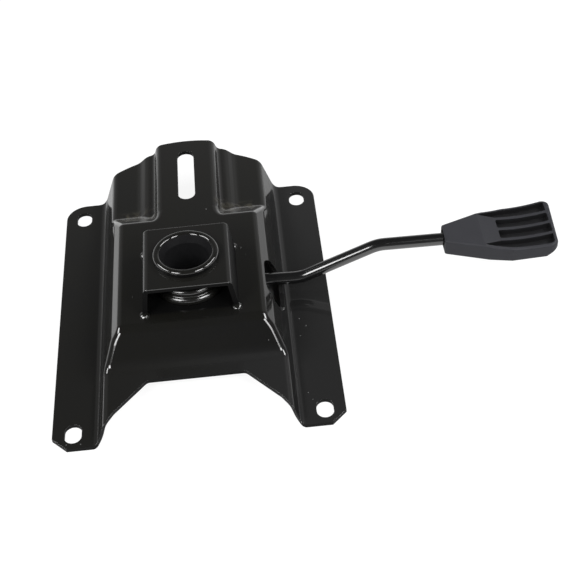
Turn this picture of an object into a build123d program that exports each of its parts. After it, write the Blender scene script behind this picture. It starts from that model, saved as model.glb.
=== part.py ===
"""Seat plate of a swivel chair, lying underside up: pressed pan, gas-lift socket and height lever.

Millimetres. The origin is the centre of the four seat bolts, on the face that meets the seat.
+X points to the front of the chair, +Y to the lever, +Z away from the seat.
"""
import os
from math import cos, hypot, radians, sin, tan

from build123d import *

# Pressed plate: sheet, flanges and bolt holes
sheet = 2.5
flange_half_width = 87.5
flange_front = 111.5
flange_rear = -115.0
bolt_spacing_x = 200.0
bolt_side_margin = 12.5
bolt_slot_width = 10.3
bolt_slot_length = 14.5

# Pressed plate: heights of the outer skin above the seat
pan_height = 31.0
shoulder_1_height = 24.0
shoulder_2_height = 20.5
lip_height = 11.0

# Pressed plate: half widths across the chair
wall_foot_half = 60.0
tongue_half = 20.0
tongue_wall_angle = 70.0
shoulder_1_half = 28.0
shoulder_2_half = 34.0

# Pressed plate: slopes of the outer walls, which lean in more above a soft break
wall_angle = 66.0
wall_top_angle = 53.0
wall_break_height = 23.5

# Pressed plate: places along the chair
step_x = -56.0
step_slope = 30.0
ramp_top_x = 45.0
ramp_foot_x = 59.5

# Pressed plate: bend radii of the outer skin
rim_radius = 4.8
wall_break_radius = 14.0
crease_radius = 5.0
ramp_top_radius = 8.0
ramp_foot_radius = 6.0
step_radius = 5.0
step_foot_radius = 3.5
inner_corner_radius = 5.0
shoulder_radius = 8.0

# Pressed plate: outline of the trimmed edge
rear_reach = 142.5
rear_ear = 25.3
rear_join_radius = 8.0
rear_corner_radius = 14.0
front_corner_cut = 9.0
lip_front_x = 70.5
lip_half = 30.0
leg_corner_x = 93.5
leg_corner_half = 50.0
leg_tip_half = 61.0
trim_radius = 4.0

# Pressed plate: slot for the back bar and opening for the lever
back_slot_setback = 39.5
back_slot_width = 11.5
back_slot_length = 54.0
lever_port_x = 3.5
lever_port_length = 38.0
lever_port_height = 21.0
lever_port_z = 17.0

# Socket tube with the 1:20 gas-lift taper
socket_x = 7.0
socket_outer_diameter = 38.0
socket_lip_diameter = 41.0
socket_lip_height = 4.0
socket_lip_round = 1.7
socket_mouth_diameter = 33.5
taper_large_diameter = 29.0
taper_ratio = 20.0
mouth_depth = 6.0
socket_foot_chamfer = 1.0

# Folded bracket round the socket
bracket_sheet = 3.0
bracket_top = 52.0
bracket_rear = -21.5
bracket_front = 35.0
bracket_top_half = 27.0
bracket_foot_half = 30.0
bracket_bend_radius = 4.0

# Weld beads
weld_pass_height = 4.7
weld_foot_width = 3.8
weld_waist_width = 1.4
weld_bulge = 1.1
toe_weld_diameter = 9.0
toe_weld_height = 2.8

# Lever rod
rod_diameter = 8.0
rod_x = -4.0
rod_wall_y = 55.7
rod_wall_z = 15.2
rod_droop = 2.5
rod_inner_bend_y = 22.0
rod_first_bend_y = 70.5
rod_second_bend_y = 120.5
rod_second_bend_z = 35.6
rod_end_y = 190.0
rod_end_droop = 1.0
rod_bend_radius = 22.0
rod_inner_bend_radius = 14.0
press_pad_length = 18.0
press_pad_width = 12.0
press_pad_thickness = 5.0
press_pad_overrun = 7.0
press_pad_blend = 9.0
press_pad_corner = 3.5
lever_stop_gap = 0.5

# Lever pivot
pivot_y = 34.0
eye_diameter = 12.0
eye_thickness = 7.0
rivet_diameter = 5.0
running_clearance = 0.05
rivet_head_diameter = 8.5
rivet_head_height = 1.8
rivet_head_chamfer = 1.2
clip_sheet = 2.0
clip_side_gap = 0.3
clip_length = 14.0
clip_bend_radius = 2.5

# Moulded handle, along the rod from its neck
handle_start_y = 162.5
handle_length = 70.5
handle_above_rod = 5.6
handle_below_rod = 6.2
neck_half = 8.3
neck_length = 27.0
neck_end_half = 17.8
paddle_start = 41.0
paddle_half = 20.7
paddle_end_half = 22.2
neck_drop = 0.6
neck_recess_width = 12.4
neck_recess_height = 8.6
neck_recess_depth = 2.0
neck_recess_corner = 2.0
dish_start = 24.0
dish_place = 46.0
dish_drop = 1.5
dish_end_rise = 2.2
belly_rise = 2.4
paddle_corner_radius = 5.0
end_bevel = 9.0
end_skew = 1.2
end_lip = 3.5
handle_edge_radius = 1.6
groove_depth = 4.0
groove_rib = 2.4
groove_width = 7.8
groove_start = 35.0
groove_end = 68.0
groove_rim = 2.2
groove_corner_radius = 1.2

# Room around the pressed form that is trimmed away
trim_room = 20.0
form_floor = -trim_room
form_roof = pan_height + trim_room
form_half_width = flange_half_width + trim_room
form_front = flange_front + trim_room
form_rear = -rear_reach - trim_room

# Tolerances when edges are picked by their place
touch = 0.01
wall_touch = 0.2
near = 1.0
parallel_ratio = 0.99


def inset(points, depth):
    """Moves an open profile down by depth, square to each of its lines, with its metal below it."""
    lines = []
    for (u0, v0), (u1, v1) in zip(points, points[1:]):
        length = hypot(u1 - u0, v1 - v0)
        right = ((v1 - v0) / length * depth, -(u1 - u0) / length * depth)
        lines.append(((u0 + right[0], v0 + right[1]), (u1 - u0, v1 - v0)))
    moved = [lines[0][0]]
    for (start, way), (next_start, next_way) in zip(lines, lines[1:]):
        cross = way[0] * next_way[1] - way[1] * next_way[0]
        gap = (next_start[0] - start[0], next_start[1] - start[1])
        share = (gap[0] * next_way[1] - gap[1] * next_way[0]) / cross
        moved.append((start[0] + way[0] * share, start[1] + way[1] * share))
    start, way = lines[-1]
    moved.append((start[0] + way[0], start[1] + way[1]))
    return moved


def skin_face(points, radii, depth, floor=form_floor):
    """Closes a profile of a pressed skin, set in by depth, down to a floor.

    A bend over the metal loses the depth from its radius, and a hollow bend gains it.
    """
    line = inset(points, depth)
    bends = []
    for before, corner, after, radius in zip(points, points[1:], points[2:], radii):
        arrive = (corner[0] - before[0], corner[1] - before[1])
        leave = (after[0] - corner[0], after[1] - corner[1])
        turn = arrive[0] * leave[1] - arrive[1] * leave[0]
        bends.append(radius - depth if turn < 0 else radius + depth)
    top = FilletPolyline(*line, radius=bends) if any(bends) else Polyline(*line)
    sides = Polyline(line[-1], (line[-1][0], floor), (line[0][0], floor), line[0])
    return make_face(top.edges() + sides.edges())


def wall_half(z, depth=0):
    """Half width at height z of the pan's wall, set in by depth."""
    low = radians(wall_angle)
    high = radians(wall_top_angle)
    break_half = wall_foot_half - (wall_break_height - sheet) / tan(low)
    lower = wall_foot_half - (z - sheet) / tan(low) - depth / sin(low)
    upper = break_half - (z - wall_break_height) / tan(high) - depth / sin(high)
    return min(lower, upper)


def across(face, x0, x1):
    """Runs a profile that is drawn across the chair from x0 to x1."""
    return Pos(x0, 0, 0) * extrude(Plane.YZ * face, x1 - x0)


def form_block(depth):
    """The pressed form under the outer skin, or under the inner skin where depth is the sheet."""
    top_z = pan_height - depth
    wall_line = [(wall_half(z), z) for z in (form_roof, wall_break_height, form_floor)]
    walls = skin_face([(-half, z) for half, z in reversed(wall_line)] + wall_line,
                      [wall_break_radius, depth, depth, wall_break_radius], depth, 2 * form_floor)

    step_fall = (pan_height - sheet) / tan(radians(step_slope))
    side = skin_face(
        [(step_x - step_fall, sheet), (step_x, pan_height), (ramp_top_x, pan_height),
         (ramp_foot_x, lip_height), (form_front, lip_height)],
        [depth, ramp_top_radius, ramp_foot_radius], depth)

    tongue_slope = tan(radians(tongue_wall_angle))
    tongue_top_half = tongue_half - depth * tan(radians(tongue_wall_angle / 2))
    tongue_floor_half = tongue_top_half + (top_z - form_floor) / tongue_slope
    tongue_foot_half = tongue_top_half + (pan_height - shoulder_1_height) / tongue_slope
    tongue = make_face(Polyline((-tongue_floor_half, form_floor), (-tongue_top_half, top_z),
                                (tongue_top_half, top_z), (tongue_floor_half, form_floor), close=True))

    terraces = skin_face(
        [(-form_half_width, shoulder_2_height), (-shoulder_2_half, shoulder_2_height),
         (-shoulder_1_half, shoulder_1_height), (shoulder_1_half, shoulder_1_height),
         (shoulder_2_half, shoulder_2_height), (form_half_width, shoulder_2_height)],
        [shoulder_radius] * 4, depth)

    raised = extrude(Plane.XZ * side, form_half_width, both=True)
    raised += across(tongue, form_rear, step_x + trim_room)
    raised += across(terraces, form_rear, step_x + trim_room)
    body = (raised & across(walls, form_rear, form_front)).solid()

    def inside(edge):
        return form_rear + near < (edge @ 0.5).X < form_front - near

    def heights(edge):
        return sorted(((edge @ 0).Z, (edge @ 1).Z))

    def runs_along(edge):
        return abs((edge % 0.5).X) > parallel_ratio

    def on_wall(point):
        return abs(abs(point.Y) - wall_half(point.Z, depth)) < wall_touch

    # The tongue's walls meet the step in rounded inner corners
    corners = [e for e in body.edges() if inside(e) and abs((e @ 0.5).Y) < shoulder_1_half
               and heights(e)[1] - heights(e)[0] > near and (e @ 0.5).X < step_x + near]
    body = body.fillet(inner_corner_radius + depth, corners)

    # The pan and the tongue roll over into the step and the tongue's walls
    rolls = [e for e in body.edges() if inside(e) and heights(e)[0] > top_z - touch
             and abs((e @ 0.5).Y) < wall_half(top_z, depth) - near and (e @ 0.5).X < step_x + sheet]
    body = body.fillet(step_radius - depth, rolls)

    # The feet of the step and of the tongue's walls, on the terraces
    feet = [e for e in body.edges() if inside(e) and heights(e)[1] < shoulder_1_height - depth + touch
            and heights(e)[0] > shoulder_2_height - depth - touch and (e @ 0.5).X < step_x
            and (not runs_along(e) or abs((e @ 0.5).Y) < tongue_foot_half + touch)
            and not on_wall(e @ 0.5)]
    body = body.fillet(step_foot_radius + depth, feet)

    # The rims, all along the top of both walls
    def on_top(edge):
        tops = (pan_height, shoulder_2_height, lip_height)
        return any(abs((edge @ 0.5).Z - top + depth) < touch for top in tops)

    rims = [e for e in body.edges() if inside(e) and (e @ 0.5).Z > form_floor + near
            and all(on_wall(e @ share) for share in (0, 0.5, 1)) and (on_top(e) or not runs_along(e))]
    body = body.fillet(rim_radius - depth, rims)

    # The flanges, and the creases where the walls rise from them
    flange = Pos(form_rear, 0, form_floor) * Box(
        form_front - form_rear, 2 * form_half_width, sheet - depth - form_floor,
        align=(Align.MIN, Align.CENTER, Align.MIN))
    body = (flange + body).solid()
    creases = [e for e in body.edges() if inside(e) and runs_along(e)
               and abs((e @ 0.5).Z - sheet + depth) < touch and on_wall(e @ 0.5)]
    return body.fillet(crease_radius + depth, creases)


def blank_outline():
    """The trimmed edge of the plate, seen from above."""
    join_half = flange_half_width - rear_ear
    side = Polyline(
        (flange_rear, join_half), (flange_rear, flange_half_width), (flange_front, flange_half_width),
        (flange_front, leg_tip_half), (leg_corner_x, leg_corner_half), (lip_front_x, lip_half),
        (lip_front_x, -lip_half), (leg_corner_x, -leg_corner_half), (flange_front, -leg_tip_half),
        (flange_front, -flange_half_width), (flange_rear, -flange_half_width), (flange_rear, -join_half))
    rear = ThreePointArc((flange_rear, -join_half), (-rear_reach, 0), (flange_rear, join_half))
    face = make_face(side.edges() + rear.edges())

    def corners(x, half):
        return [v for v in face.vertices() if abs(v.X - x) < touch and abs(abs(v.Y) - half) < touch]

    face = chamfer(corners(flange_front, flange_half_width), front_corner_cut)
    face = fillet(corners(flange_rear, flange_half_width), rear_corner_radius)
    face = fillet(corners(flange_rear, join_half), rear_join_radius)
    for x, half in ((flange_front, leg_tip_half), (leg_corner_x, leg_corner_half), (lip_front_x, lip_half)):
        face = fillet(corners(x, half), trim_radius)
    return face


def seat_plate():
    """One sheet, pressed to the pan and trimmed, with its holes."""
    plate = form_block(0) - form_block(sheet)
    trim = Pos(0, 0, form_floor) * extrude(blank_outline(), form_roof - form_floor)
    plate = plate & trim
    bolt_hole = extrude(SlotOverall(bolt_slot_length, bolt_slot_width), 2 * sheet, both=True)
    for x in (-bolt_spacing_x / 2, bolt_spacing_x / 2):
        for y in (bolt_side_margin - flange_half_width, flange_half_width - bolt_side_margin):
            plate -= Pos(x, y, 0) * bolt_hole
    back_slot = extrude(SlotOverall(back_slot_length, back_slot_width), form_roof)
    plate -= Pos(back_slot_setback - rear_reach, 0, 0) * back_slot
    plate -= Pos(socket_x, 0, 0) * Cylinder(socket_outer_diameter / 2, 2 * form_roof)
    port = extrude(Plane.XZ * SlotOverall(lever_port_length, lever_port_height), -form_half_width)
    plate -= Pos(lever_port_x, 0, lever_port_z) * port
    return plate


def rod_z(y):
    """Height of the rod's inner run, which droops towards the handle."""
    return rod_wall_z + (rod_wall_y - y) * tan(radians(rod_droop))


def rod_end_z(y):
    """Height of the rod's outer run, which carries the handle."""
    return rod_second_bend_z - (y - rod_second_bend_y) * tan(radians(rod_end_droop))


def ring_about_socket(profile):
    """Turns a half section, drawn as radius and height, about the socket's axis."""
    return Pos(socket_x, 0, 0) * revolve(Plane.XZ * profile, Axis.Z)


def taper_socket():
    """The tube with a rounded lip on the bracket and a tapered bore for the gas column's cone.

    It ends just above the lever's rod, which rests against it when the handle hangs.
    """
    socket_bottom = rod_z(taper_large_diameter / 2) + rod_diameter / 2 + lever_stop_gap
    outer = socket_outer_diameter / 2
    lip = socket_lip_diameter / 2
    top = bracket_top + socket_lip_height
    taper_top = top - mouth_depth
    foot_bore = (taper_large_diameter - (taper_top - socket_bottom) / taper_ratio) / 2
    section = make_face(Polyline(
        (foot_bore, socket_bottom), (outer - socket_foot_chamfer, socket_bottom),
        (outer, socket_bottom + socket_foot_chamfer), (outer, bracket_top), (lip, bracket_top), (lip, top),
        (socket_mouth_diameter / 2, top), (taper_large_diameter / 2, taper_top), close=True))
    rim = [v for v in section.vertices() if abs(v.Y - top) < touch]
    return ring_about_socket(fillet(rim, socket_lip_round))


def socket_bracket():
    """A sheet folded to a flared U over the socket, standing on the pan."""
    flare = (bracket_foot_half - bracket_top_half) / (bracket_top - pan_height)
    buried_half = bracket_top_half + flare * (bracket_top - form_floor)
    fold = [(-buried_half, form_floor), (-bracket_top_half, bracket_top),
            (bracket_top_half, bracket_top), (buried_half, form_floor)]
    radii = [bracket_bend_radius] * 2
    lowest = form_floor - bracket_sheet
    section = skin_face(fold, radii, 0, lowest) - skin_face(fold, radii, bracket_sheet, lowest)
    above_pan = Pos(0, pan_height) * Rectangle(
        4 * buried_half, bracket_top, align=(Align.CENTER, Align.MIN))
    bracket = across(section & above_pan, bracket_rear, bracket_front)
    return bracket - Pos(socket_x, 0, 0) * Cylinder(socket_outer_diameter / 2, 4 * bracket_top)


def weld_pass(low, high):
    """The bulging face of one pass of weld, between two points on its section."""
    rise = (high[0] - low[0], high[1] - low[1])
    length = hypot(*rise)
    out = (rise[1] / length * weld_bulge, -rise[0] / length * weld_bulge)
    middle = ((low[0] + high[0]) / 2 + out[0], (low[1] + high[1]) / 2 + out[1])
    return ThreePointArc(low, middle, high)


def socket_weld():
    """The ring bead between the tube and the pan, laid in two passes."""
    outer = socket_outer_diameter / 2
    foot = (outer + weld_foot_width, pan_height)
    waist = (outer + weld_waist_width, pan_height + weld_pass_height)
    top = (outer, pan_height + 2 * weld_pass_height)
    legs = Polyline(top, (outer, pan_height), foot)
    return ring_about_socket(make_face(
        legs.edges() + weld_pass(foot, waist).edges() + weld_pass(waist, top).edges()))


def bracket_welds():
    """Four tack welds that wrap the toes of the bracket's feet."""
    ball = ((toe_weld_diameter / 2) ** 2 + toe_weld_height ** 2) / (2 * toe_weld_height)
    cap = Pos(0, 0, toe_weld_height - ball) * Sphere(ball)
    cap &= Cylinder(toe_weld_diameter, 2 * toe_weld_height, align=(Align.CENTER, Align.CENTER, Align.MIN))
    bracket = socket_bracket()
    toe_y = bracket_foot_half - bracket_sheet / 2
    tacks = []
    for x in (bracket_front, bracket_rear):
        for y in (-toe_y, toe_y):
            tacks.append((Pos(x, y, pan_height) * cap - bracket).solid())
    return Compound(tacks)


def lever_rod():
    """A round rod bent twice outside the plate, with a pivot eye and a flat that presses the gas valve."""
    inner_bend = Vector(rod_x, rod_inner_bend_y, rod_z(rod_inner_bend_y))
    under_valve = Vector(socket_x, 0, rod_z(0))
    inwards = (under_valve - inner_bend).normalized()
    tip = under_valve + inwards * press_pad_overrun
    pad_end = tip - inwards * press_pad_length
    rod_start = pad_end - inwards * press_pad_blend
    route = FilletPolyline(
        rod_start, inner_bend, (rod_x, rod_first_bend_y, rod_z(rod_first_bend_y)),
        (rod_x, rod_second_bend_y, rod_second_bend_z), (rod_x, rod_end_y, rod_end_z(rod_end_y)),
        radius=[rod_inner_bend_radius, rod_bend_radius, rod_bend_radius])
    across_pad = Vector(0, 0, 1).cross(inwards).normalized()
    rod_plane = Plane(rod_start, x_dir=-across_pad, z_dir=-inwards)
    round_section = rod_plane * Circle(rod_diameter / 2)
    rod = sweep(round_section, route)

    flat_plane = Plane(pad_end, x_dir=across_pad, z_dir=inwards)
    flat_section = flat_plane * Rectangle(press_pad_width, press_pad_thickness)
    pad_outline = Rectangle(press_pad_length, press_pad_width, align=(Align.MIN, Align.CENTER))
    pad_outline = fillet(pad_outline.vertices().group_by(Axis.X)[-1], press_pad_corner)
    pad_plane = Plane(pad_end, x_dir=inwards, z_dir=inwards.cross(across_pad))
    pad = extrude(pad_plane * pad_outline, press_pad_thickness / 2, both=True)
    lever = rod + loft([round_section, flat_section]) + pad

    pivot = Vector(rod_x, pivot_y, rod_z(pivot_y))
    flat_length = clip_length + eye_diameter / 2
    for side in (-1, 1):
        shave = Box(rod_diameter, flat_length, 2 * rod_diameter)
        lever -= Pos(pivot.X + side * (eye_thickness + rod_diameter) / 2, pivot.Y, pivot.Z) * shave
    lever += Pos(pivot) * Rot(0, 90, 0) * Cylinder(eye_diameter / 2, eye_thickness)
    bore = rivet_diameter / 2 + running_clearance
    return lever - Pos(pivot) * Rot(0, 90, 0) * Cylinder(bore, 2 * eye_thickness)


def fulcrum_clip():
    """A small U of sheet under the pan, whose legs carry the lever's rivet."""
    pivot_z = rod_z(pivot_y)
    under_pan = pan_height - sheet
    inner_half = eye_thickness / 2 + clip_side_gap
    outer_half = inner_half + clip_sheet
    straight = Rectangle(clip_length, under_pan - pivot_z, align=(Align.CENTER, Align.MIN))
    leg = Pos(pivot_y, pivot_z) * (straight + Circle(clip_length / 2))
    block = across(leg, rod_x - outer_half, rod_x + outer_half)
    folds = [e for e in block.edges() if abs((e @ 0.5).Z - under_pan) < touch
             and abs((e % 0.5).Y) > parallel_ratio]
    block = block.fillet(clip_bend_radius, folds)
    channel = Box(2 * inner_half, 2 * clip_length, under_pan, align=(Align.CENTER, Align.CENTER, Align.MAX))
    inner_folds = channel.edges().filter_by(Axis.Y).group_by(Axis.Z)[-1]
    channel = channel.fillet(clip_bend_radius - clip_sheet, inner_folds)
    clip = block - Pos(rod_x, pivot_y, under_pan - clip_sheet) * channel
    bore = rivet_diameter / 2 + running_clearance
    return clip - Pos(rod_x, pivot_y, pivot_z) * Rot(0, 90, 0) * Cylinder(bore, 4 * outer_half)


def pivot_rivet():
    """A rivet through both legs of the clip and the lever's eye."""
    grip = eye_thickness / 2 + clip_side_gap + clip_sheet
    rivet = Cylinder(rivet_diameter / 2, 2 * grip)
    head = Cylinder(
        rivet_head_diameter / 2, rivet_head_height, align=(Align.CENTER, Align.CENTER, Align.MIN))
    head = head.chamfer(rivet_head_chamfer, None, head.edges().group_by(Axis.Z)[-1])
    head = Pos(0, 0, grip) * head
    rivet += [head, head.mirror(Plane.XY)]
    return Pos(rod_x, pivot_y, rod_z(pivot_y)) * Rot(0, 90, 0) * rivet


def lever_handle():
    """A moulded paddle pushed on the rod, with four finger grooves in the face away from the seat."""
    plan = make_face(Polyline(
        (0, -neck_half), (neck_length, -neck_end_half), (paddle_start, -paddle_half),
        (handle_length - end_skew, -paddle_end_half), (handle_length + end_skew, paddle_end_half),
        (paddle_start, paddle_half), (neck_length, neck_end_half), (0, neck_half), close=True))
    ends = [v for v in plan.vertices() if abs(abs(v.Y) - paddle_end_half) < touch]
    plan = fillet(ends, paddle_corner_radius)
    reach = handle_length + end_skew
    end_top = handle_above_rod + dish_end_rise

    def dish(depth):
        return ThreePointArc(
            (dish_start, handle_above_rod - depth), (dish_place, handle_above_rod - dish_drop - depth),
            (reach, end_top - depth))

    lower_line = Polyline(
        (dish_start, handle_above_rod), (0, handle_above_rod - neck_drop), (0, -handle_below_rod),
        (paddle_start, -handle_below_rod), (reach - end_bevel, belly_rise - handle_below_rod),
        (reach, end_top - end_lip), (reach, end_top))
    profile = make_face(lower_line.edges() + dish(0).edges())
    handle = extrude(plan, handle_length, both=True) & extrude(Plane.XZ * profile, handle_length, both=True)
    handle = handle.solid()
    handle = handle.fillet(handle_edge_radius, handle.edges())

    upper_line = Polyline(
        (dish_start, handle_above_rod - groove_depth), (dish_start, handle_length),
        (reach, handle_length), (reach, end_top - groove_depth))
    above_grooves = make_face(upper_line.edges() + dish(groove_depth).edges())
    above_grooves = extrude(Plane.XZ * above_grooves, handle_length, both=True)
    pocket = offset(plan, -groove_rim)
    outer_start = groove_rib / 2 + groove_width + groove_rib
    tip_half = neck_half + (neck_end_half - neck_half) * dish_start / neck_length - groove_rim
    groove = RectangleRounded(groove_end - groove_start, groove_width, groove_corner_radius)
    for side in (-1, 1):
        inner = Pos((groove_start + groove_end) / 2, side * (groove_rib + groove_width) / 2) * groove
        wedge = make_face(Polyline(
            (dish_start, side * tip_half), (groove_start, side * outer_start),
            (groove_end, side * outer_start), (groove_end, side * handle_length),
            (dish_start, side * handle_length), close=True))
        for outline in (inner, pocket & wedge):
            handle -= extrude(outline, handle_length) & above_grooves
    recess = RectangleRounded(neck_recess_width, neck_recess_height, neck_recess_corner)
    handle -= extrude(Plane.YZ * recess, neck_recess_depth)
    bore_depth = (rod_end_y - handle_start_y) / cos(radians(rod_end_droop))
    handle -= Rot(0, 90, 0) * Cylinder(
        rod_diameter / 2 + running_clearance, bore_depth, align=(Align.CENTER, Align.CENTER, Align.MIN))
    droop = radians(rod_end_droop)
    on_rod = Plane((rod_x, handle_start_y, rod_end_z(handle_start_y)),
                   x_dir=(0, cos(droop), -sin(droop)), z_dir=(0, sin(droop), cos(droop)))
    return on_rod * handle


PARTS = {
    "seat_plate": seat_plate,
    "socket_bracket": socket_bracket,
    "taper_socket": taper_socket,
    "socket_weld": socket_weld,
    "bracket_welds": bracket_welds,
    "lever_rod": lever_rod,
    "lever_handle": lever_handle,
    "fulcrum_clip": fulcrum_clip,
    "pivot_rivet": pivot_rivet,
}

os.makedirs("parts", exist_ok=True)
for name, make in PARTS.items():
    export_step(make(), f"parts/{name}.step")
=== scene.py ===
"""Looks of the swivel chair seat plate: paint, moulded handle, welds, studio light and camera."""

from math import cos, pi, radians, sin, tau

import bmesh
import bpy
from mathutils import Matrix, Vector, noise


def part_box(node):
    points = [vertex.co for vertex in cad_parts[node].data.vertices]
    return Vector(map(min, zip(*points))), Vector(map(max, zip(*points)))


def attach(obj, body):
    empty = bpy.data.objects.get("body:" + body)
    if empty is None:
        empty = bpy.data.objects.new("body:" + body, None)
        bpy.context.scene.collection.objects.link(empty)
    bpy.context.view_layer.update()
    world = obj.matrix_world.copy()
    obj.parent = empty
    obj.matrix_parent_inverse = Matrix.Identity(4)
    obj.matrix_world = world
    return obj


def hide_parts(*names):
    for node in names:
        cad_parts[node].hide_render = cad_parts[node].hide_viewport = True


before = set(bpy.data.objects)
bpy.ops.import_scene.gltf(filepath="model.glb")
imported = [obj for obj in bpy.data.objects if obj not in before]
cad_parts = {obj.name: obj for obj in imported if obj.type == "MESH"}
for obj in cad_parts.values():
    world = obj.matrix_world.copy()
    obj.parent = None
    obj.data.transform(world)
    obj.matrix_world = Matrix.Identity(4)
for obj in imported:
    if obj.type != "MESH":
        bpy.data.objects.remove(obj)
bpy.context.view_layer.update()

MM = 0.001

# Black enamel: the sheet's warm tint and the rod's cooler one, and the spray on each kind of piece
SHEET_TINT = (0.0105, 0.0101, 0.0076)
ROD_TINT = (0.0085, 0.0085, 0.0090)
SHEET_SPRAY = {"roughness": 0.06, "peel": 0.16, "dust_share": 0.05}
SOCKET_SPRAY = {"roughness": 0.06, "peel": 0.12, "dust_share": 0.0}
BEAD_SPRAY = {"roughness": 0.16, "peel": 0.10, "dust_share": 0.0}
ROD_SPRAY = {"roughness": 0.12, "peel": 0.03, "dust_share": 0.03}
ENAMEL_IOR = 1.6
ENAMEL_SPECULAR = 0.95
ENAMEL_EDGE = 0.45 * MM

# Slow changes of the enamel's tint and gloss, and its fine orange peel
SLOW_CELL = 38.0 * MM
SLOW_DULL = 0.05
PEEL_CELL = 1.6 * MM
PEEL_SLOW_SHARE = 0.6
PEEL_DEPTH = 0.05 * MM

# Specks of dust on the enamel
DUST_CELL = 9.0 * MM
DUST_RADIUS = 0.28 * MM
DUST_TINT = 0.32
DUST_DULL = 0.45

# What stands out of the enamel: the specks, and the ridges of the smudges
RELIEF_STRENGTH = 0.5
RELIEF_DEPTH = 0.05 * MM

# Thin, dull paint, darker than the gloss. On cut edges it is thin paint; on drawn walls, bracket
# folds and sides, tube sides and the pan under the bracket it is painted shade
DULL_AND_SHADE_TINT = 0.004
DULL_ROUGHNESS = 0.55
DULL_SPECULAR = 0.12

# Sheared and turned sides, by how little they face up or down
SHEARED_SLOPES = (0.05, 0.12)

# How far from the middle a side of the plate is fully that side
SIDE_REACH = 60.0 * MM

# Painted light: a grey lift that brightens the low parts of the sheet, its flanges and lip, most on
# the lever's side
PAINTED_LIFT_TINT = 0.021
PAINTED_LIFT_RISE = (12.0 * MM, 17.0 * MM)
PAINTED_LIFT_LEFT = 0.3

# Painted shade on the drawn walls: how much of them takes the darker dull paint, and how much more
# on the lever's side
WALL_SLOPES = (0.64, 0.80)
WALL_SHADE = 0.32
WALL_SHADE_RIGHT = 0.26

# Smudges and ridges that the press left around the step's foot
SMUDGE_TINT = (0.046, 0.042, 0.029, 1.0)
SMUDGE_CELL = 7.0 * MM
SMUDGE_DISTORTION = 0.7
SMUDGE_PATCHES = (0.40, 0.62)
SMUDGE_DULL = 0.18
SMUDGE_RIDGE = 4.0
STEP_FOOT = (-82.0 * MM, -74.0 * MM)
STEP_HEAD = (-67.0 * MM, -60.0 * MM)
STEP_INNER = (17.0 * MM, 22.0 * MM)
STEP_OUTER = (42.0 * MM, 50.0 * MM)

# The bracket: how far its edges are worn round, where its flat top begins, and by slope its folds
# and sides, which take darker dull paint as painted shade that narrows the folds' highlights
BRACKET_EDGE = 0.7 * MM
BRACKET_TOP_RISE = (51.30 * MM, 51.44 * MM)
FOLD_SLOPES = (0.52, 0.74)

# The socket's axis, and the pan around it under the bracket, which takes darker dull paint as
# painted shade
SOCKET_X = 7.0 * MM
HIDDEN_LENGTH = (26.0 * MM, 29.0 * MM)
HIDDEN_WIDTH = (25.0 * MM, 28.0 * MM)

# The taper in the socket, given as bare oiled steel, and how far from the axis it reaches. Its
# near-black, dull colour is painted shade for the dark bore
TAPER_REACH = 16.4 * MM
TAPER_SHADE_DARK = (0.008, 0.008, 0.009, 1.0)
TAPER_SHADE_PALE = (0.013, 0.013, 0.014, 1.0)
TAPER_CELL = 4.0 * MM
TAPER_ROUGHNESS = 0.5
TAPER_DULL = 0.2
TAPER_SPECULAR = 0.2

# Bare spatter
SPATTER_CELL = 0.3 * MM
SPATTER_DARK = 0.06
SPATTER_PALE = 0.13
SPATTER_ROUGHNESS = 0.35
SPATTER_DULL = 0.25
SPATTER_STRENGTH = 0.3
SPATTER_DEPTH = 0.05 * MM

# Moulded plastic of the handle: mottled charcoal, with painted shade that darkens the grooves,
# grain and dust
HANDLE_DARK = (0.033, 0.0335, 0.0385, 1.0)
HANDLE_PALE = (0.042, 0.0425, 0.049, 1.0)
HANDLE_IOR = 1.5
HANDLE_SPECULAR = 0.30
HANDLE_ROUGHNESS = 0.62
HANDLE_EDGE = 0.5 * MM
GROOVE_SHADE_TINT = (0.007, 0.007, 0.008, 1.0)
GROOVE_DEPTH = 6.0 * MM
GROOVE_OPEN = (0.80, 1.0)
FINGER_POLISH = 0.20
GRAIN_CELL = 0.32 * MM
GRAIN_DULL = 0.16
GRAIN_STRENGTH = 0.35
GRAIN_DEPTH = 0.04 * MM
MOTTLE_CELL = 14.0 * MM
MOTTLE_DISTORTION = 0.4
MOTTLE_DULL = 0.06
HANDLE_DUST_CELL = 6.0 * MM
HANDLE_DUST_RADIUS = 0.16 * MM
HANDLE_DUST_SHARE = 0.10
HANDLE_DUST_TINT = 0.16

# Zinc plate on the rivet
ZINC_DARK = (0.42, 0.42, 0.43, 1.0)
ZINC_PALE = (0.58, 0.58, 0.58, 1.0)
ZINC_CELL = 3.0 * MM
ZINC_ROUGHNESS = 0.26
ZINC_DULL = 0.18
ZINC_MARK_CELL = 0.25 * MM
ZINC_MARK_STRENGTH = 0.15
ZINC_MARK_DEPTH = 0.03 * MM

# Ring bead between the socket's tube and the pan, laid in two passes
TUBE_RADIUS = 19.0 * MM
RING_STEPS = 180
RING_PASS_POINTS = 9
RING_FOOT = 3.8 * MM
RING_WAIST = 1.4 * MM
RING_BULGE = 1.1 * MM
RING_WANDER_DEPTH = 0.22 * MM
RING_WANDER_SIZE = 9.0 * MM

# Tack beads at the toes of the bracket's feet
TOE_RADIUS = 4.5 * MM
TOE_SUBDIVISIONS = 4
TOE_SHRINK = 0.72
TOE_LUMP_DEPTH = 0.40 * MM
TOE_LUMP_SIZE = 2.6 * MM

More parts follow.
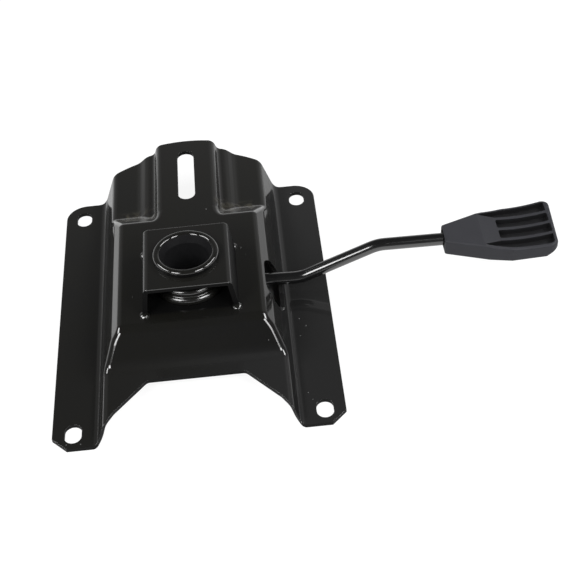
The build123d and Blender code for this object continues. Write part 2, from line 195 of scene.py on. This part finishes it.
# Painted beads: weld spatter on the pan and burrs at the lever's port. Bare beads: spatter on the
# flanges. Each has its place along X, Y and Z and its radius, all in millimetres
PAINTED_BEADS = (
    (-20.0, 33.6, 31.0, 0.75), (-12.5, 36.4, 31.0, 0.40), (17.0, -36.0, 31.0, 0.40),
    (20.2, 56.4, 10.6, 1.10), (18.4, 57.1, 9.0, 0.80),
)
BARE_BEADS = (
    (21.8, 66.3, 2.5, 0.50), (28.7, 70.1, 2.5, 0.55), (37.4, 65.9, 2.5, 0.45),
    (86.2, 66.4, 2.5, 0.45), (92.0, 68.5, 2.5, 0.35), (108.0, -78.6, 2.5, 0.45),
    (108.6, -70.2, 2.5, 0.40),
)
BEAD_SUBDIVISIONS = 3
BEAD_HEIGHT = 0.7

# Points of a mesh that lie closer than this are one
MERGE_DISTANCE = 0.001 * MM

# Camera of the photograph
CAMERA_PLACE = Vector((613.8, 47.2, 574.6)) * MM
CAMERA_PITCH = radians(42.61)
CAMERA_YAW = radians(1.33)
CAMERA_ROLL = radians(-4.91)
CAMERA_LENS = 80.65

# Studio lamps: place, length and height in metres, and power in watts
LAMPS = {
    "left_bank": (Vector((-0.10, -0.85, 0.85)), 0.80, 0.28, 5.6),
    "right_bank": (Vector((-0.10, 0.85, 0.85)), 0.80, 0.28, 5.6),
    "left_front": (Vector((0.77, -0.69, 0.865)), 0.48, 0.48, 7.2),
    "right_front": (Vector((0.77, 0.69, 0.865)), 0.48, 0.48, 7.2),
}

# Studio floor. It glows to these rays alone, less and less towards the camera's side, and not
# where the middle of the plate covers it
FLOOR_SIZE = 60.0
FLOOR_DROP = 0.3 * MM
FLOOR_COLOUR = 0.20
FLOOR_GLOW = 0.90
GLOW_RAYS = ("Is Camera Ray", "Is Glossy Ray", "Is Transmission Ray")
GLOW_END = (0.26, 0.70)
COVER_REAR = -75.0 * MM
COVER_FRONT = 42.0 * MM
COVER_HALF = 58.0 * MM
COVER_SOFTNESS = 10.0 * MM

# Studio walls, ceiling and ground: how each glows, from the horizon to half way up and overhead
HORIZON_GLOW = 1.0
BACKDROP_GLOW = 0.27
BACKDROP_LEFT = 0.20
CAMERA_SIDE_HORIZON = 0.22
CAMERA_SIDE_GLOW = 0.07
CEILING_GLOW = 0.03
GROUND_GLOW = 0.6

# Where that changes, along a direction of length 1: the backdrop stands behind the plate, is
# brighter on the right and ends on both sides, and the camera's side is dark
BACKDROP_EDGE = (0.05, 0.60)
BACKDROP_SIDES = (-0.18, 0.06)
BACKDROP_ENDS = (0.38, 0.72)
MIDDLE_RISE = (0.10, 0.44)
CEILING_RISE = (0.48, 0.74)
GROUND_FALL = (0.0, 0.1)

# Sockets of a Mix node for colours, by number, since several there share a name
MIX_FACTOR, MIX_PLAIN, MIX_OTHER, MIX_RESULT = 0, 6, 7, 2

# Rays that a worn edge and a hollow are found with
EDGE_SAMPLES = 6
HOLLOW_SAMPLES = 8


class Wire:
    """A value on its way through a material's nodes. Python's operators add the Math nodes."""

    def __init__(self, finish, socket):
        self.finish = finish
        self.socket = socket

    def maths(self, operation, *values):
        settings = {"operation": operation}
        return self.finish.add("ShaderNodeMath", "Value", settings, dict(enumerate(values)))

    def __add__(self, other):
        return self.maths("ADD", self, other)

    def __radd__(self, other):
        return self.maths("ADD", other, self)

    def __sub__(self, other):
        return self.maths("SUBTRACT", self, other)

    def __rsub__(self, other):
        return self.maths("SUBTRACT", other, self)

    def __mul__(self, other):
        return self.maths("MULTIPLY", self, other)

    def __rmul__(self, other):
        return self.maths("MULTIPLY", other, self)

    def __lt__(self, other):
        return self.maths("LESS_THAN", self, other)

    def __gt__(self, other):
        return self.maths("GREATER_THAN", self, other)

    def __abs__(self):
        return self.maths("ABSOLUTE", self)

    def fade(self, start, end):
        """Goes smoothly from 0 at start to 1 at end."""
        return self.finish.add("ShaderNodeMapRange", "Result",
                               {"interpolation_type": "SMOOTHSTEP"},
                               {"Value": self, "From Min": start, "From Max": end})


class Finish:
    """One node tree, grown node by node."""

    def __init__(self, owner):
        owner.use_nodes = True
        self.tree = owner.node_tree
        self.tree.nodes.clear()

    def add(self, kind, output, settings, inputs):
        """Adds a node, sets it up, feeds its sockets and gives one output, if one is named."""
        node = self.tree.nodes.new(kind)
        for name, value in settings.items():
            setattr(node, name, value)
        for name, value in inputs.items():
            if isinstance(value, Wire):
                self.tree.links.new(value.socket, node.inputs[name])
            else:
                node.inputs[name].default_value = value
        if output is not None:
            return Wire(self, node.outputs[output])

    def surface(self, **sockets):
        """A Principled surface, whose fixed values sit on its own sockets."""
        inputs = {name.replace("_", " ").title().replace("Ior", "IOR"): value
                  for name, value in sockets.items()}
        return self.add("ShaderNodeBsdfPrincipled", "BSDF", {}, inputs)

    def mix(self, factor, plain, other):
        return self.add("ShaderNodeMixShader", "Shader", {}, {0: factor, 1: plain, 2: other})

    def show(self, shader):
        self.add("ShaderNodeOutputMaterial", None, {}, {"Surface": shader})

    def place(self):
        return self.add("ShaderNodeTexCoord", "Object", {}, {})

    def along(self, vector, name):
        return self.add("ShaderNodeSeparateXYZ", name, {}, {"Vector": vector})

    def rise(self):
        """How far the bare surface faces up, from -1 to 1."""
        return self.along(self.add("ShaderNodeTexCoord", "Normal", {}, {}), "Z")

    def clouds(self, cell, detail=2.0, distortion=0.0):
        """Soft noise from 0 to 1 whose cells measure about that many metres."""
        inputs = {"Vector": self.place(), "Scale": 1 / cell}
        inputs |= {"Detail": detail, "Distortion": distortion}
        return self.add("ShaderNodeTexNoise", "Fac", {}, inputs)

    def specks(self, cell, radius, share):
        """Scattered round specks, in that share of cells of that size."""
        inputs = {"Vector": self.place(), "Scale": 1 / cell}
        distance = self.add("ShaderNodeTexVoronoi", "Distance", {}, inputs)
        lot = self.add("ShaderNodeTexVoronoi", "Color", {}, inputs)
        draw = self.add("ShaderNodeSeparateColor", "Red", {}, {"Color": lot})
        return (distance < radius / cell) * (draw < share)

    def hollows(self, reach):
        """1 in the open, and less in grooves that are about that deep."""
        settings = {"only_local": True, "samples": HOLLOW_SAMPLES}
        return self.add("ShaderNodeAmbientOcclusion", "AO", settings, {"Distance": reach})

    def blend(self, factor, plain, other):
        return self.add("ShaderNodeMix", MIX_RESULT, {"data_type": "RGBA"},
                        {MIX_FACTOR: factor, MIX_PLAIN: plain, MIX_OTHER: other})

    def bump(self, height, strength, depth, normal=None):
        inputs = {"Height": height, "Strength": strength, "Distance": depth}
        if normal is not None:
            inputs["Normal"] = normal
        return self.add("ShaderNodeBump", "Normal", {}, inputs)

    def soft_edges(self, radius):
        return self.add("ShaderNodeBevel", "Normal", {"samples": EDGE_SAMPLES}, {"Radius": radius})


def new_finish(name):
    made = bpy.data.materials.new(name)
    return made, Finish(made)


def grey(value):
    return (value, value, value, 1.0)


def enamel(finish, tint, roughness, peel, dust_share, painted_lift=0.0, smudge=0.0, edge=ENAMEL_EDGE):
    """Sprayed black enamel: orange peel, slow changes of tint and gloss, soft edges and a little
    dust. Where they are given, a grey lift of painted light brightens it and handling leaves brown
    smudges."""
    slow = finish.clouds(SLOW_CELL, detail=3.0)
    fine = finish.clouds(PEEL_CELL)
    dust = finish.specks(DUST_CELL, DUST_RADIUS, dust_share)
    painted = finish.blend(slow, grey(tint[1]), (*tint, 1.0))
    # Painted light: the grey lift, where it is given
    lifted = finish.blend(painted_lift, painted, grey(PAINTED_LIFT_TINT))
    handled = finish.blend(smudge, lifted, SMUDGE_TINT)
    edges = finish.soft_edges(edge)
    peeled = finish.bump(fine + slow * PEEL_SLOW_SHARE, peel, PEEL_DEPTH, edges)
    raised = dust + smudge * SMUDGE_RIDGE
    return finish.surface(
        ior=ENAMEL_IOR, specular_ior_level=ENAMEL_SPECULAR,
        base_color=finish.blend(dust, handled, grey(DUST_TINT)),
        roughness=roughness + slow * SLOW_DULL + dust * DUST_DULL + smudge * SMUDGE_DULL,
        normal=finish.bump(raised, RELIEF_STRENGTH, RELIEF_DEPTH, peeled))


def dulled_and_shaded(finish, gloss, share):
    """Gives way to darker, dull paint over that share. On cut edges it is thin paint; elsewhere it
    is painted shade.
    """
    dull = finish.surface(base_color=grey(DULL_AND_SHADE_TINT), roughness=DULL_ROUGHNESS,
                          specular_ior_level=DULL_SPECULAR)
    return finish.mix(share, gloss, dull)


def steep(finish, start, end):
    """1 on upright sides, and 0 where the surface faces up or down more than that."""
    return 1 - abs(finish.rise()).fade(start, end)


def sheet_paint():
    """Enamel on the pressed sheet. A grey lift of painted light brightens its flanges and lip, the
    press left smudges at the step, the paint is dull on sheared edges, and painted shade darkens
    and dulls the drawn walls and the pan under the bracket."""
    made, finish = new_finish("sheet_paint")
    along = finish.along(finish.place(), "X")
    aside = finish.along(finish.place(), "Y")
    height = finish.along(finish.place(), "Z")
    # Painted light: a grey lift over the low parts, strongest on the lever's side
    low = 1 - height.fade(*PAINTED_LIFT_RISE)
    painted_lift = low * (PAINTED_LIFT_LEFT + aside.fade(-SIDE_REACH, SIDE_REACH) * (1 - PAINTED_LIFT_LEFT))
    at_step = along.fade(*STEP_FOOT) * (1 - along.fade(*STEP_HEAD))
    beside = abs(aside).fade(*STEP_INNER) * (1 - abs(aside).fade(*STEP_OUTER))
    patches = finish.clouds(SMUDGE_CELL, detail=3.0, distortion=SMUDGE_DISTORTION)
    smudge = at_step * beside * patches.fade(*SMUDGE_PATCHES)
    gloss = enamel(finish, SHEET_TINT, **SHEET_SPRAY, painted_lift=painted_lift, smudge=smudge)
    # Painted shade: darker dull paint on the pan under the bracket
    in_length = 1 - abs(along - SOCKET_X).fade(*HIDDEN_LENGTH)
    in_width = 1 - abs(aside).fade(*HIDDEN_WIDTH)
    # Painted shade: darker dull paint on the drawn walls, more on the lever's side
    wall_shade = WALL_SHADE + aside.fade(0.0, SIDE_REACH) * WALL_SHADE_RIGHT
    drawn = steep(finish, *WALL_SLOPES) * wall_shade
    kept = (1 - in_length * in_width) * (1 - drawn) * (1 - steep(finish, *SHEARED_SLOPES))
    finish.show(dulled_and_shaded(finish, gloss, 1 - kept))
    return made


def bracket_paint():
    """Enamel on the folded bracket, with darker dull paint over its folds and down its sides:
    painted shade that leaves the folds only thin highlights.
    """
    made, finish = new_finish("bracket_paint")
    gloss = enamel(finish, SHEET_TINT, **SHEET_SPRAY, edge=BRACKET_EDGE)
    below = 1 - finish.along(finish.place(), "Z").fade(*BRACKET_TOP_RISE)
    # Painted shade: darker dull paint over the folds and down the sides
    finish.show(dulled_and_shaded(finish, gloss, steep(finish, *FOLD_SLOPES) * below))
    return made


def socket_paint():
    """Enamel on the socket's tube, darkened and dulled on its upright sides as painted shade, and
    in its taper a near-black, dull surface given as bare oiled steel: painted shade for the bore.
    """
    made, finish = new_finish("socket_paint")
    gloss = enamel(finish, SHEET_TINT, **SOCKET_SPRAY)
    # Painted shade: darker dull paint on the tube's upright sides
    outside = dulled_and_shaded(finish, gloss, steep(finish, *SHEARED_SLOPES))
    tarnish = finish.clouds(TAPER_CELL, detail=4.0)
    # Painted shade: a near-black, dull taper for the dark bore
    shaded_taper = finish.surface(
        specular_ior_level=TAPER_SPECULAR,
        base_color=finish.blend(tarnish, TAPER_SHADE_DARK, TAPER_SHADE_PALE),
        roughness=TAPER_ROUGHNESS + tarnish * TAPER_DULL)
    across = finish.along(finish.place(), "X") - SOCKET_X
    aside = finish.along(finish.place(), "Y")
    in_taper = across * across + aside * aside < TAPER_REACH * TAPER_REACH
    finish.show(finish.mix(in_taper, outside, shaded_taper))
    return made


def bead_paint():
    """Enamel on weld beads, thick and smooth."""
    made, finish = new_finish("bead_paint")
    finish.show(enamel(finish, SHEET_TINT, **BEAD_SPRAY))
    return made


def bare_spatter():
    """Spatter that landed on the paint: pale, rough steel."""
    made, finish = new_finish("bare_spatter")
    scale = finish.clouds(SPATTER_CELL)
    finish.show(finish.surface(
        base_color=finish.blend(scale, grey(SPATTER_DARK), grey(SPATTER_PALE)),
        roughness=SPATTER_ROUGHNESS + scale * SPATTER_DULL,
        normal=finish.bump(scale, SPATTER_STRENGTH, SPATTER_DEPTH)))
    return made


def rod_paint():
    """Enamel on the bent rod."""
    made, finish = new_finish("rod_paint")
    finish.show(enamel(finish, ROD_TINT, **ROD_SPRAY))
    return made


def moulded_plastic():
    """Charcoal moulding: spark-eroded grain, slow mottling, and grooves darkened by painted shade,
    which are also rougher.
    """
    made, finish = new_finish("moulded_plastic")
    grain = finish.clouds(GRAIN_CELL, detail=3.0)
    mottle = finish.clouds(MOTTLE_CELL, detail=4.0, distortion=MOTTLE_DISTORTION)
    edges = finish.soft_edges(HANDLE_EDGE)
    dust = finish.specks(HANDLE_DUST_CELL, HANDLE_DUST_RADIUS, HANDLE_DUST_SHARE)
    # Painted shade: the grooves darken by how little they are open
    openness = finish.hollows(GROOVE_DEPTH).fade(*GROOVE_OPEN)
    charcoal = finish.blend(mottle, HANDLE_DARK, HANDLE_PALE)
    groove_shaded = finish.blend(openness, GROOVE_SHADE_TINT, charcoal)
    grained = HANDLE_ROUGHNESS - openness * FINGER_POLISH + grain * GRAIN_DULL
    finish.show(finish.surface(
        ior=HANDLE_IOR, specular_ior_level=HANDLE_SPECULAR,
        base_color=finish.blend(dust, groove_shaded, grey(HANDLE_DUST_TINT)),
        roughness=grained + mottle * MOTTLE_DULL,
        normal=finish.bump(grain, GRAIN_STRENGTH, GRAIN_DEPTH, edges)))
    return made


def plated_steel():
    """Zinc plate on the rivet: fine turning marks and slow tarnish."""
    made, finish = new_finish("plated_steel")
    marks = finish.clouds(ZINC_MARK_CELL)
    tarnish = finish.clouds(ZINC_CELL, detail=4.0)
    finish.show(finish.surface(
        metallic=1.0,
        base_color=finish.blend(tarnish, ZINC_DARK, ZINC_PALE),
        roughness=ZINC_ROUGHNESS + tarnish * ZINC_DULL,
        normal=finish.bump(marks, ZINC_MARK_STRENGTH, ZINC_MARK_DEPTH)))
    return made


def new_piece(name, mesh, finish, replaced=None):
    """Makes a finished piece of the plate out of a bmesh."""
    bmesh.ops.remove_doubles(mesh, verts=mesh.verts, dist=MERGE_DISTANCE)
    bmesh.ops.recalc_face_normals(mesh, faces=mesh.faces)
    for face in mesh.faces:
        face.smooth = True
    data = bpy.data.meshes.new(name)
    mesh.to_mesh(data)
    mesh.free()
    data.materials.append(finish)
    piece = bpy.data.objects.new(name, data)
    bpy.context.scene.collection.objects.link(piece)
    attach(piece, "plate")
    if replaced:
        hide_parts(replaced)


def weld_pass(low, high):
    """Points of the bulging face of one pass of weld, without its last one."""
    rise = high - low
    out = Vector((rise.z, 0, -rise.x)).normalized()
    for i in range(RING_PASS_POINTS):
        share = i / RING_PASS_POINTS
        yield low + rise * share + out * RING_BULGE * sin(share * pi)


def ring_bead(finish):
    """The ring weld: two smooth passes that wander a little, as a hand-held torch leaves them."""
    low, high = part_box("socket_weld")
    centre = Vector(((low.x + high.x) / 2, (low.y + high.y) / 2, low.z))
    corner = centre + Vector((TUBE_RADIUS, 0, 0))
    top = corner + Vector((0, 0, high.z - low.z))
    foot = corner + Vector((RING_FOOT, 0, 0))
    waist = (corner + top) / 2 + Vector((RING_WAIST, 0, 0))
    mesh = bmesh.new()
    outline = [corner, *weld_pass(foot, waist), *weld_pass(waist, top), top]
    section = [mesh.verts.new(point) for point in outline]
    edges = [mesh.edges.new(pair) for pair in zip(section, section[1:] + section[:1])]
    bmesh.ops.spin(mesh, geom=section + edges, cent=centre, axis=(0, 0, 1), angle=tau,
                   steps=RING_STEPS, use_merge=True)
    bmesh.ops.remove_doubles(mesh, verts=mesh.verts, dist=MERGE_DISTANCE)
    for vert in mesh.verts:
        spoke = Vector((vert.co.x - centre.x, vert.co.y - centre.y, 0))
        proud = min((spoke.length - TUBE_RADIUS) / RING_WAIST, 1.0)
        clear = min((vert.co.z - low.z) / RING_WAIST, 1.0)
        wander = noise.noise(vert.co / RING_WANDER_SIZE)
        vert.co += spoke.normalized() * wander * RING_WANDER_DEPTH * proud * clear
    new_piece("ring_bead", mesh, finish, "socket_weld")


def toe_beads(finish):
    """The four tack welds: low lumps that wrap the toes of the bracket."""
    low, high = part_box("bracket_welds")
    height = (high.z - low.z) * TOE_SHRINK
    mesh = bmesh.new()
    for x in (low.x + TOE_RADIUS, high.x - TOE_RADIUS):
        for y in (low.y + TOE_RADIUS, high.y - TOE_RADIUS):
            seat = Vector((x, y, low.z))
            made = bmesh.ops.create_icosphere(mesh, subdivisions=TOE_SUBDIVISIONS,
                                              radius=TOE_RADIUS)["verts"]
            for vert in made:
                lump = noise.noise((vert.co + seat) / TOE_LUMP_SIZE)
                vert.co += vert.co.normalized() * lump * TOE_LUMP_DEPTH
            bmesh.ops.scale(mesh, vec=(TOE_SHRINK, TOE_SHRINK, height / TOE_RADIUS), verts=made)
            bmesh.ops.translate(mesh, vec=seat, verts=made)
    cut = bmesh.ops.bisect_plane(mesh, geom=mesh.verts[:] + mesh.edges[:] + mesh.faces[:],
                                 plane_co=low, plane_no=(0, 0, -1), clear_outer=True)
    rims = [item for item in cut["geom_cut"] if isinstance(item, bmesh.types.BMEdge)]
    bmesh.ops.holes_fill(mesh, edges=rims)
    new_piece("toe_beads", mesh, finish, "bracket_welds")


def small_beads(name, beads, finish):
    """Tiny flattened beads that sit on the plate."""
    mesh = bmesh.new()
    for *place, radius in beads:
        made = bmesh.ops.create_icosphere(mesh, subdivisions=BEAD_SUBDIVISIONS,
                                          radius=radius * MM)["verts"]
        bmesh.ops.scale(mesh, vec=(1, 1, BEAD_HEIGHT), verts=made)
        bmesh.ops.translate(mesh, vec=Vector(place) * MM, verts=made)
    new_piece(name, mesh, finish)


def dress_parts():
    """Gives every carried-over part its finish, and adds the weld beads."""
    sheet = sheet_paint()
    bead = bead_paint()
    finishes = {
        "lever_rod": rod_paint(),
        "lever_handle": moulded_plastic(),
        "pivot_rivet": plated_steel(),
        "taper_socket": socket_paint(),
        "socket_bracket": bracket_paint(),
    }
    for name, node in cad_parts.items():
        node.data.materials.clear()
        node.data.materials.append(finishes.get(name, sheet))
    ring_bead(bead)
    toe_beads(bead)
    small_beads("painted_beads", PAINTED_BEADS, sheet)
    small_beads("bare_beads", BARE_BEADS, bare_spatter())


def floor_paint():
    """White to the eye and in reflections, and matt to the lamps. From below it is clear."""
    made, finish = new_finish("floor")
    x = finish.along(finish.place(), "X")
    y = finish.along(finish.place(), "Y")
    covered = (x.fade(COVER_REAR - COVER_SOFTNESS, COVER_REAR)
               * (1 - x.fade(COVER_FRONT, COVER_FRONT + COVER_SOFTNESS))
               * (1 - abs(y).fade(COVER_HALF, COVER_HALF + COVER_SOFTNESS)))
    far = 1 - x.fade(*GLOW_END)
    seen = sum(finish.add("ShaderNodeLightPath", ray, {}, {}) for ray in GLOW_RAYS)
    strength = seen * FLOOR_GLOW * far * (1 - covered)
    glow = finish.add("ShaderNodeEmission", "Emission", {}, {"Strength": strength})
    matt = finish.add("ShaderNodeBsdfDiffuse", "BSDF", {}, {"Color": grey(FLOOR_COLOUR)})
    lit = finish.add("ShaderNodeAddShader", "Shader", {}, {0: glow, 1: matt})
    clear = finish.add("ShaderNodeBsdfTransparent", "BSDF", {}, {})
    from_below = finish.add("ShaderNodeNewGeometry", "Backfacing", {}, {})
    finish.show(finish.mix(from_below, lit, clear))
    return made


def studio_floor():
    """A wide floor under the plate, which takes its shadow."""
    mesh = bmesh.new()
    bmesh.ops.create_grid(mesh, x_segments=1, y_segments=1, size=FLOOR_SIZE / 2)
    bmesh.ops.translate(mesh, vec=(0, 0, -FLOOR_DROP), verts=mesh.verts)
    data = bpy.data.meshes.new("floor")
    mesh.to_mesh(data)
    mesh.free()
    data.materials.append(floor_paint())
    floor = bpy.data.objects.new("floor", data)
    bpy.context.scene.collection.objects.link(floor)


def studio_lamps():
    """A long soft box on each side of the plate, and a small one on each side of the camera."""
    for name, (place, length, height, power) in LAMPS.items():
        lamp = bpy.data.lights.new(name, "AREA")
        lamp.shape = "RECTANGLE"
        lamp.size = length
        lamp.size_y = height
        lamp.energy = power
        made = bpy.data.objects.new(name, lamp)
        made.location = place
        made.rotation_euler = (-place).to_track_quat("-Z", "Y").to_euler()
        bpy.context.scene.collection.objects.link(made)


def studio_world():
    """Bright at the horizon behind the plate, dim overhead, and lit below for the underside."""
    world = bpy.data.worlds.new("studio")
    bpy.context.scene.world = world
    finish = Finish(world)
    out = finish.add("ShaderNodeTexCoord", "Generated", {}, {})
    ahead = finish.along(out, "X")
    aside = finish.along(out, "Y")
    rise = finish.along(out, "Z")
    behind = (0 - ahead).fade(*BACKDROP_EDGE) * (1 - abs(aside).fade(*BACKDROP_ENDS))
    backdrop = BACKDROP_LEFT + aside.fade(*BACKDROP_SIDES) * (BACKDROP_GLOW - BACKDROP_LEFT)
    middle = CAMERA_SIDE_GLOW + behind * (backdrop - CAMERA_SIDE_GLOW)
    horizon = CAMERA_SIDE_HORIZON + behind * (HORIZON_GLOW - CAMERA_SIDE_HORIZON)
    walls = horizon - rise.fade(*MIDDLE_RISE) * (horizon - middle)
    ceiling = rise.fade(*CEILING_RISE) * (middle - CEILING_GLOW)
    ground = (0 - rise).fade(*GROUND_FALL) * GROUND_GLOW
    light = finish.add("ShaderNodeBackground", "Background", {},
                       {"Strength": walls - ceiling + ground})
    finish.add("ShaderNodeOutputWorld", None, {}, {"Surface": light})


def photo_camera():
    """Stands where the photograph was taken from."""
    level = cos(CAMERA_PITCH)
    ahead = Vector((-cos(CAMERA_YAW) * level, sin(CAMERA_YAW) * level, -sin(CAMERA_PITCH)))
    turn = ahead.to_track_quat("-Z", "Y").to_matrix() @ Matrix.Rotation(CAMERA_ROLL, 3, "Z")
    lens = bpy.data.cameras.new("camera")
    lens.lens = CAMERA_LENS
    camera = bpy.data.objects.new("camera", lens)
    camera.matrix_world = Matrix.LocRotScale(CAMERA_PLACE, turn, None)
    bpy.context.scene.collection.objects.link(camera)
    bpy.context.scene.camera = camera


dress_parts()
studio_floor()
studio_lamps()
studio_world()
photo_camera()
bpy.context.scene.view_settings.view_transform = "Standard"
